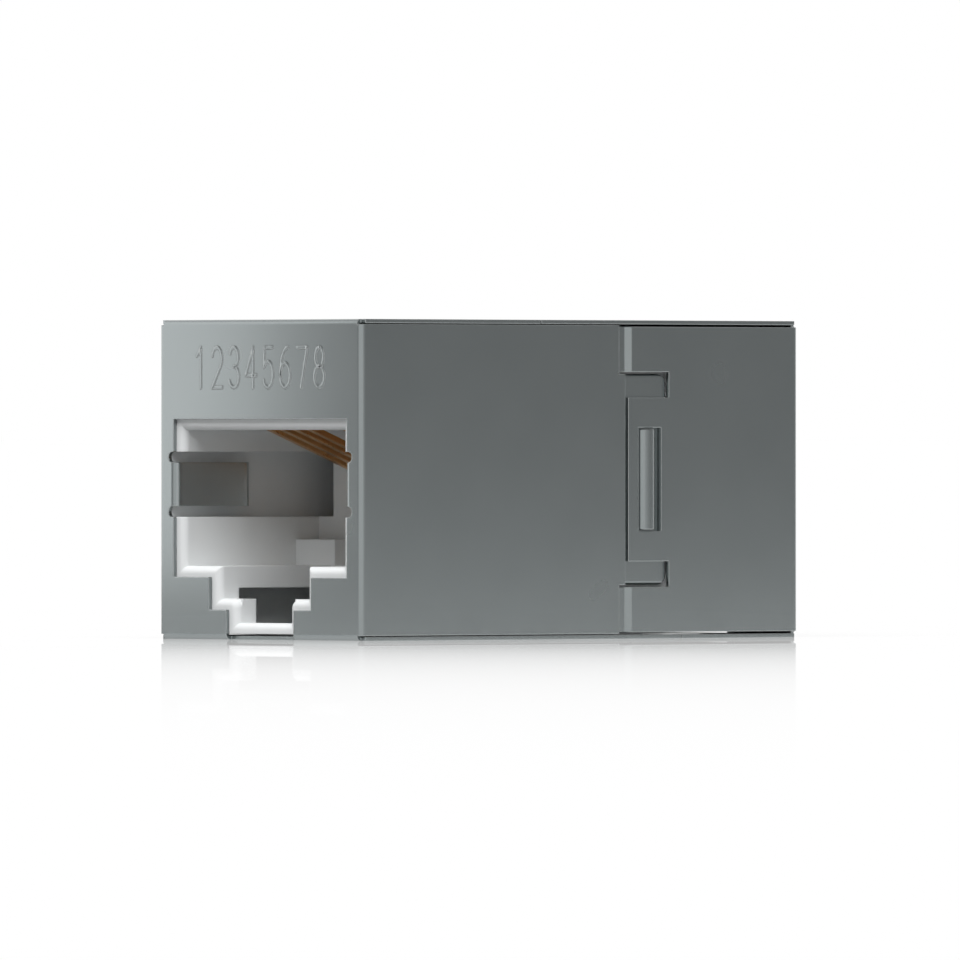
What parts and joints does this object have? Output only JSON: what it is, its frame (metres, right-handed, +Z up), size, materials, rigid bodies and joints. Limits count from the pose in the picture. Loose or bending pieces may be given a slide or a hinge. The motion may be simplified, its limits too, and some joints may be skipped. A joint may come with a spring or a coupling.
{
  "type": "ethernet inline coupler",
  "caption": "Shielded inline coupler that joins network cables end to end: a folded metal box with a latch-down jack in each end, spring contacts and a board inside.",
  "frame": {"origin": "middle of the underside, on the surface that the coupler lies on", "axes": "+X across the width, +Y along the length from the front port to the rear port, +Z up"},
  "size_m": [0.0154, 0.03, 0.0161],
  "materials": {
    "shield_metal": "dark nickel-plated sheet, satin",
    "jack_plastic": "white moulded thermoplastic, satin",
    "carrier_plastic": "natural white moulded thermoplastic, satin",
    "contact_gold": "gold-plated formed strip",
    "board_laminate": "green solder mask over glass laminate"
  },
  "bodies": {
    "root": {"circuit_board": "board_laminate", "front_shield_shell": "shield_metal", "front_jack_housing": "jack_plastic", "front_contact_carrier": "carrier_plastic", "front_contact_1": "contact_gold", "front_contact_2": "contact_gold", "front_contact_3": "contact_gold", "front_contact_4": "contact_gold", "front_contact_5": "contact_gold", "front_contact_6": "contact_gold", "front_contact_7": "contact_gold", "front_contact_8": "contact_gold", "rear_shield_shell": "shield_metal", "rear_jack_housing": "jack_plastic", "rear_contact_carrier": "carrier_plastic", "rear_contact_1": "contact_gold", "rear_contact_2": "contact_gold", "rear_contact_3": "contact_gold", "rear_contact_4": "contact_gold", "rear_contact_5": "contact_gold", "rear_contact_6": "contact_gold", "rear_contact_7": "contact_gold", "rear_contact_8": "contact_gold"}
  },
  "joints": []
}
